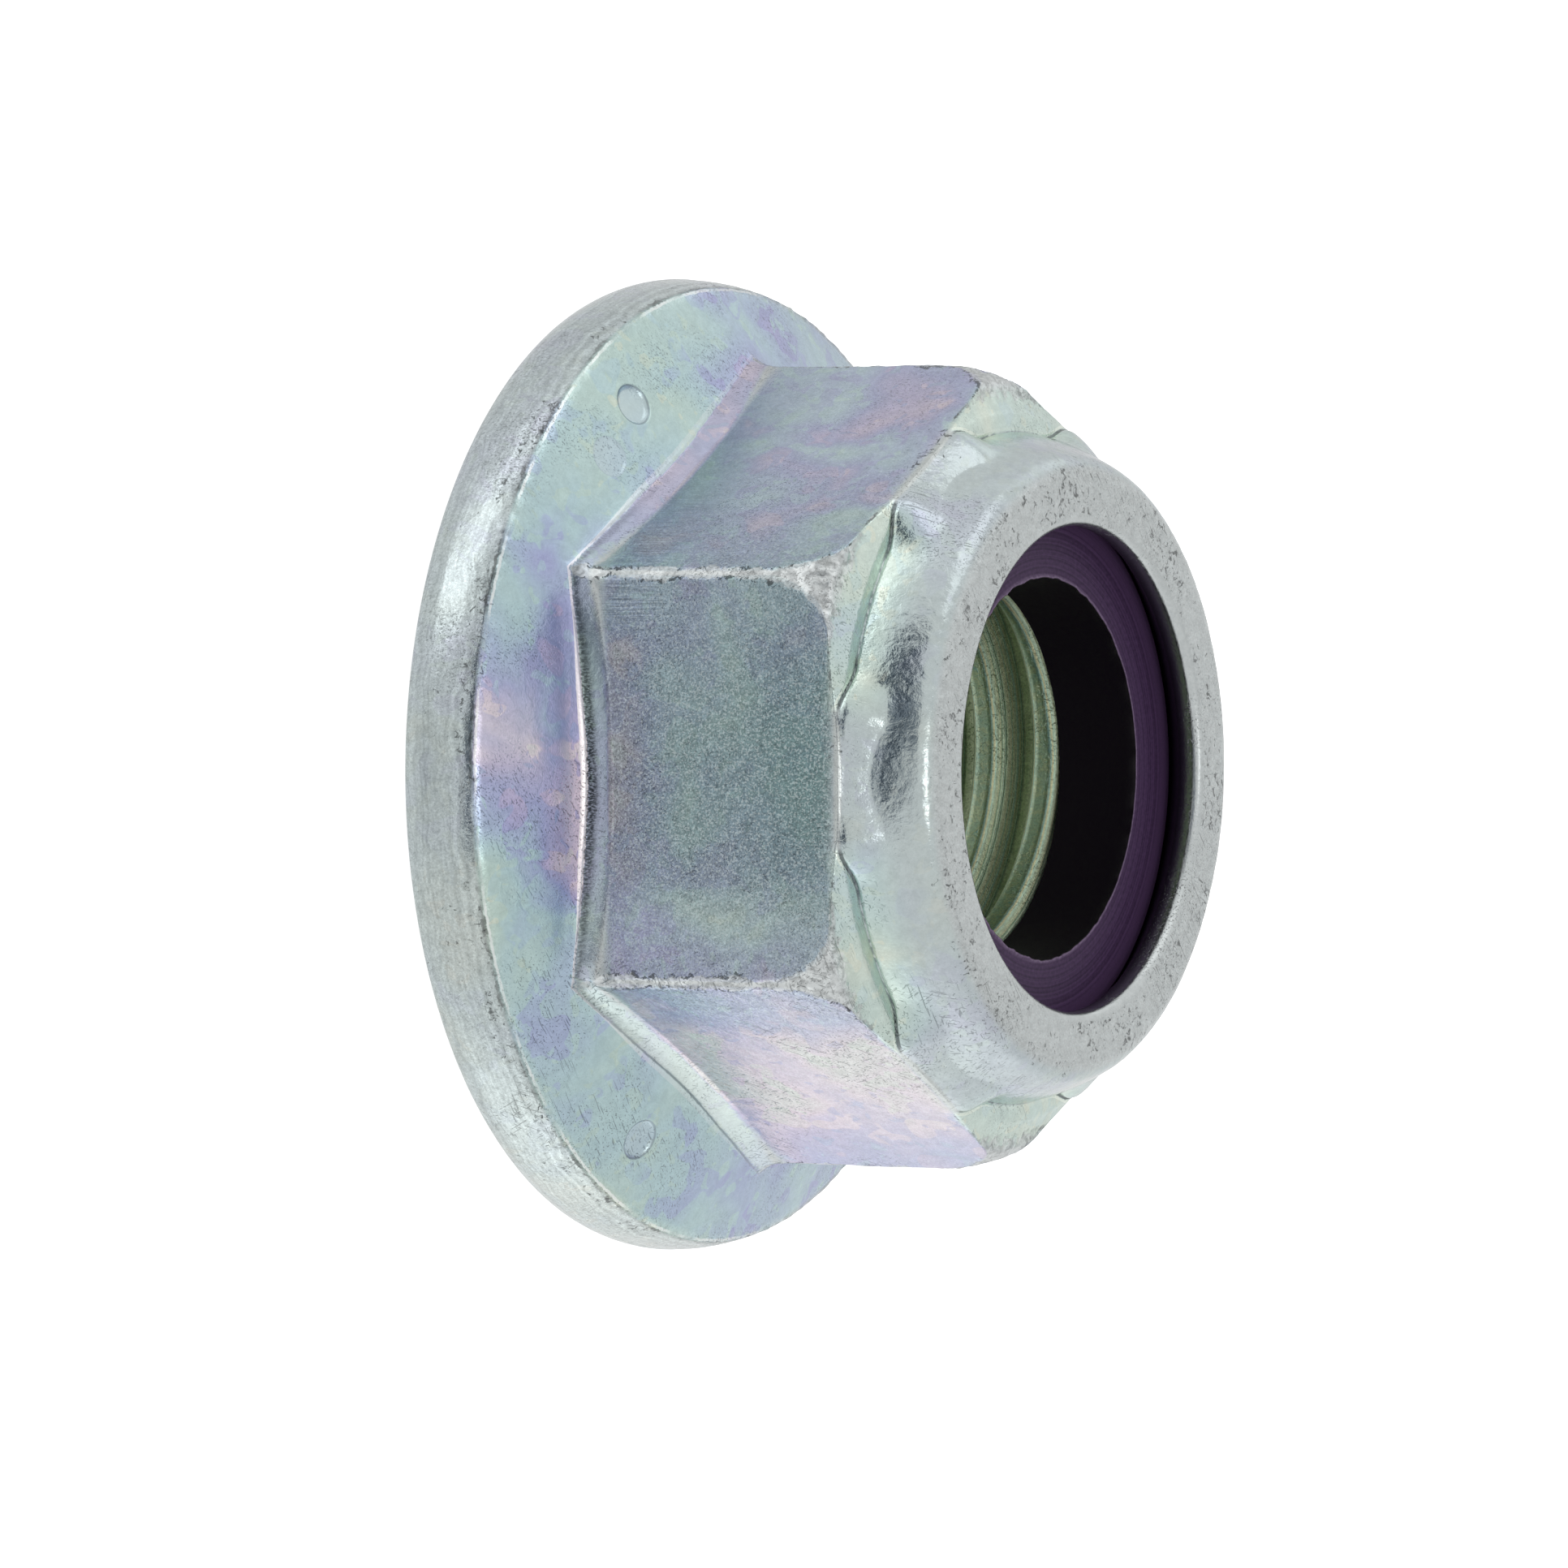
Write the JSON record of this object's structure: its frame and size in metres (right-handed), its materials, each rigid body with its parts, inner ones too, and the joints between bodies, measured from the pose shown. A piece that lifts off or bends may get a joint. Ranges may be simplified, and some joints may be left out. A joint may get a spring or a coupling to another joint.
{
  "type": "flange lock nut",
  "caption": "Hexagon lock nut with a conical washer flange and a collar rolled over a captive nylon ring.",
  "frame": {"origin": "centre of the bearing face", "axes": "+Z along the nut's axis, from the bearing face to the collar; +X through the middle of one flat"},
  "size_m": [0.0178, 0.0178, 0.009],
  "materials": {
    "zinc_plated_steel": "zinc plated with a clear iridescent passivate",
    "nylon": "turned and punched, dark purple"
  },
  "bodies": {
    "root": {"nut_body": "zinc_plated_steel", "nylon_ring": "nylon"}
  },
  "joints": []
}
